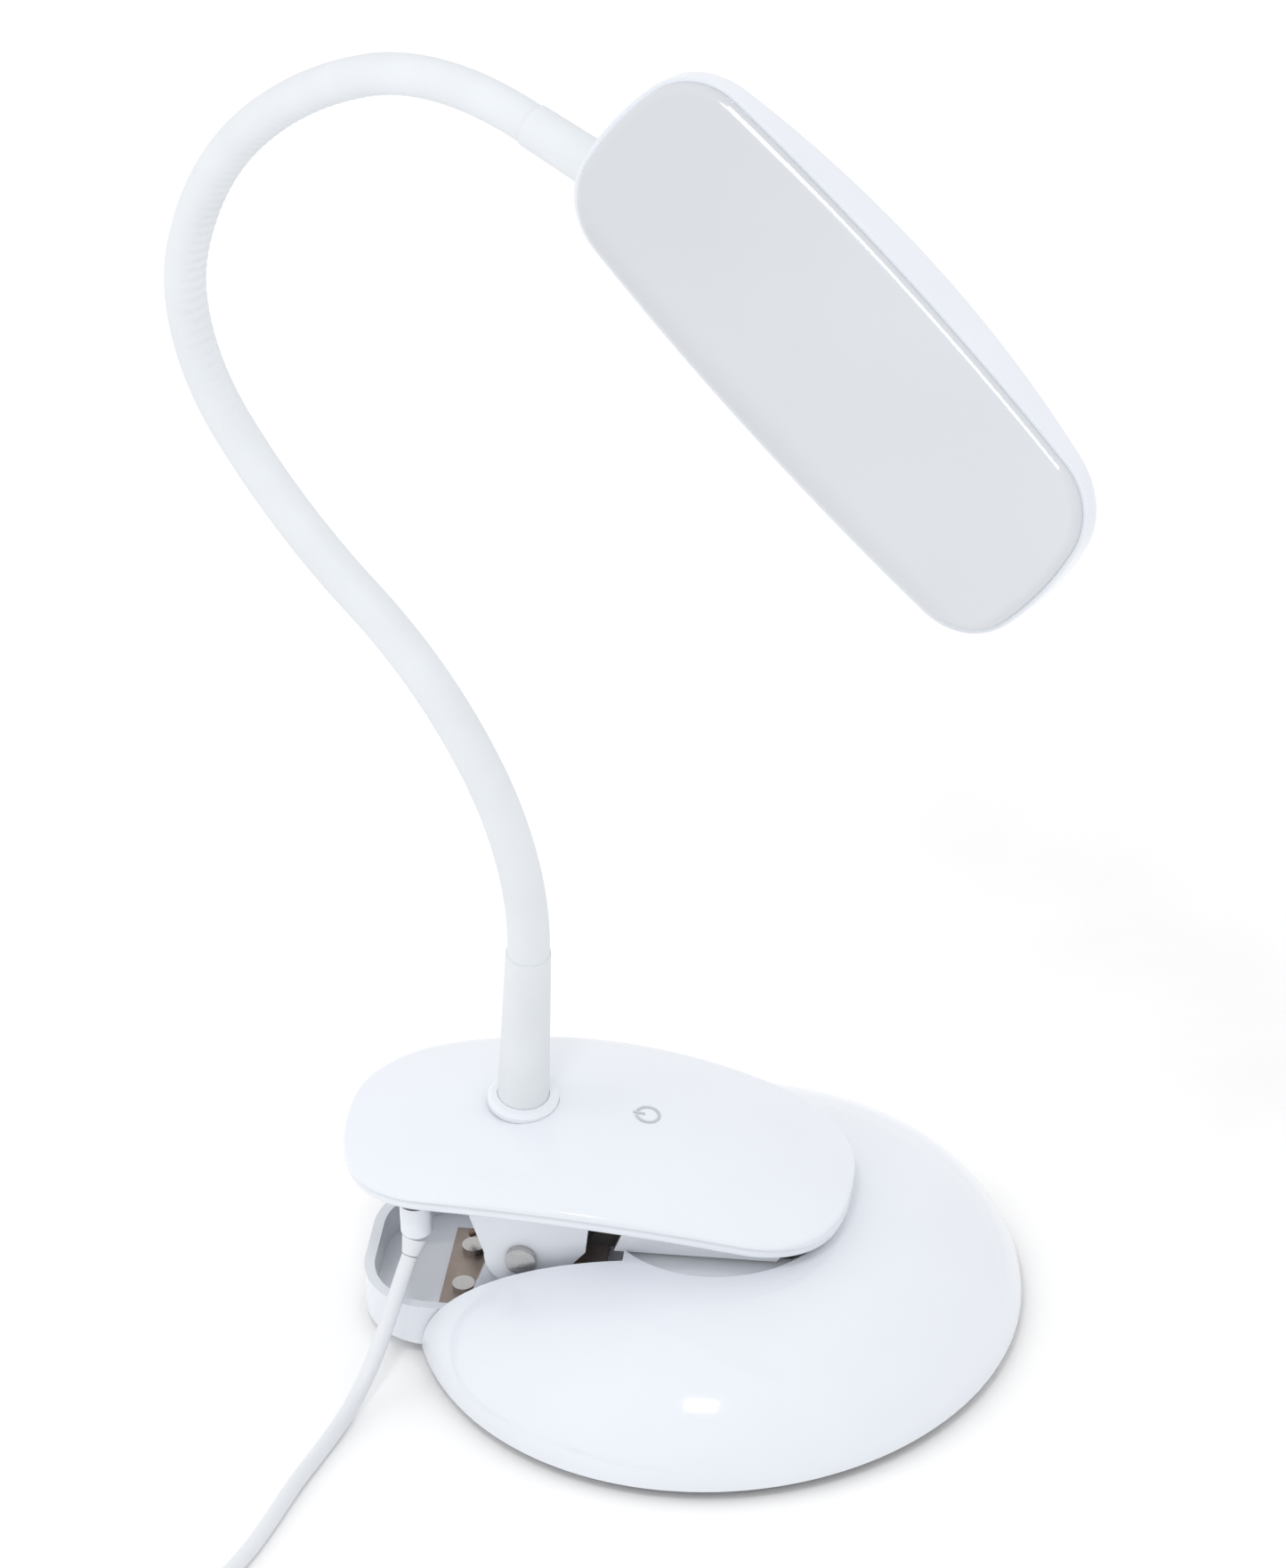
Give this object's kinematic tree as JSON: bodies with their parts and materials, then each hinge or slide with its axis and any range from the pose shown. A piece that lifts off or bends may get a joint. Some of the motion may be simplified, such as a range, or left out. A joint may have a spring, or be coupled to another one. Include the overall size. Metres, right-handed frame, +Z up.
{
  "type": "clip-on reading lamp",
  "caption": "Rechargeable clip-on reading lamp: weighted round base, sprung clip arm with touch switch, bendable gooseneck and slim oblong diffuser head.",
  "frame": {"origin": "centre of the round base's underside, on the table", "axes": "+Z up; +X along the clip arm to its tip; the lamp's front faces -Y"},
  "size_m": [0.2187, 0.2411, 0.3541],
  "materials": {
    "gloss_white": "gloss",
    "neck_white": "matte",
    "diffuser": "gloss",
    "black_rubber": "matte",
    "dark_plastic": "matte",
    "silicone": "satin",
    "steel": "satin",
    "spring_steel": "satin",
    "board_green": "satin",
    "led_yellow": "satin",
    "cell_blue": "satin",
    "copper": "satin",
    "icon_grey": "matte",
    "lead_white": "satin"
  },
  "bodies": {
    "base": {"base_cover": "gloss_white", "base_bottom_plate": "dark_plastic", "foot_pad": "black_rubber", "ballast_weight": "steel", "base_screws": "steel", "lower_jaw_pad": "silicone", "lower_handle": "gloss_white", "hinge_bracket": "steel", "bracket_screws": "steel", "hinge_pin": "steel", "pin_retainer": "steel", "torsion_spring": "spring_steel", "charge_lead": "lead_white", "lead_tail": "lead_white", "lead_coil": "lead_white", "lead_tie": "dark_plastic", "usb_plug_grip": "lead_white", "usb_plug_shell": "steel"},
    "clip_arm": {"arm_top_cover": "gloss_white", "arm_bottom_cover": "gloss_white", "upper_jaw_pad": "black_rubber", "touch_icon": "icon_grey", "touch_electrode": "copper", "control_board": "board_green", "battery_cell": "cell_blue", "charge_socket": "dark_plastic", "arm_screws": "steel", "neck_collar": "gloss_white", "neck_nut": "steel", "neck_stud": "steel", "neck_sleeve_lower": "neck_white", "charge_plug": "gloss_white", "strain_relief": "lead_white"},
    "neck_1": {"gooseneck_link_1": "neck_white"},
    "neck_2": {"gooseneck_link_2": "neck_white"},
    "neck_3": {"gooseneck_link_3": "neck_white"},
    "neck_4": {"gooseneck_link_4": "neck_white"},
    "neck_5": {"gooseneck_link_5": "neck_white"},
    "neck_6": {"gooseneck_link_6": "neck_white"},
    "neck_7": {"gooseneck_link_7": "neck_white"},
    "head": {"neck_sleeve_upper": "neck_white", "neck_anchor": "steel", "head_housing": "gloss_white", "head_diffuser": "diffuser", "reflector_frame": "gloss_white", "led_board": "gloss_white", "led_chips": "led_yellow", "head_screws": "steel"}
  },
  "joints": [
    {"name": "clip_hinge", "type": "hinge", "parent": "base", "child": "clip_arm", "pos_m": [-0.0383, 0, 0.0265], "axis": [0, -1, 0], "range_deg": [0, 25], "stiffness_Nm_per_rad": 1.2, "springref_deg": -34.38, "deforming": ["torsion_spring", "charge_lead"]},
    {"name": "neck_bend_1", "type": "hinge", "parent": "clip_arm", "child": "neck_1", "pos_m": [-0.03654, -0.00196, 0.09553], "axis": [0.515, 0.8572, 0], "range_deg": [-18, 18]},
    {"name": "neck_bend_2", "type": "hinge", "parent": "neck_1", "child": "neck_2", "pos_m": [-0.04502, 0.00314, 0.13907], "axis": [0.7363, -0.4424, 0.512], "range_deg": [-18, 18]},
    {"name": "neck_bend_3", "type": "hinge", "parent": "neck_2", "child": "neck_3", "pos_m": [-0.07217, 0.01945, 0.17097], "axis": [0.515, 0.8572, 0], "range_deg": [-18, 18]},
    {"name": "neck_bend_4", "type": "hinge", "parent": "neck_3", "child": "neck_4", "pos_m": [-0.1013, 0.03695, 0.20072], "axis": [0.668, -0.4014, 0.6266], "range_deg": [-18, 18]},
    {"name": "neck_bend_5", "type": "hinge", "parent": "neck_4", "child": "neck_5", "pos_m": [-0.10963, 0.04196, 0.24349], "axis": [0.515, 0.8572, 0], "range_deg": [-18, 18]},
    {"name": "neck_bend_6", "type": "hinge", "parent": "neck_5", "child": "neck_6", "pos_m": [-0.09288, 0.0319, 0.28408], "axis": [0.6736, -0.4047, -0.6184], "range_deg": [-18, 18]},
    {"name": "neck_bend_7", "type": "hinge", "parent": "neck_6", "child": "neck_7", "pos_m": [-0.06402, 0.01455, 0.31418], "axis": [0.515, 0.8572, 0], "range_deg": [-18, 18]},
    {"name": "neck_bend_8", "type": "hinge", "parent": "neck_7", "child": "head", "pos_m": [-0.02667, -0.00789, 0.32289], "axis": [-0.137, 0.0823, -0.9871], "range_deg": [-18, 18]}
  ]
}
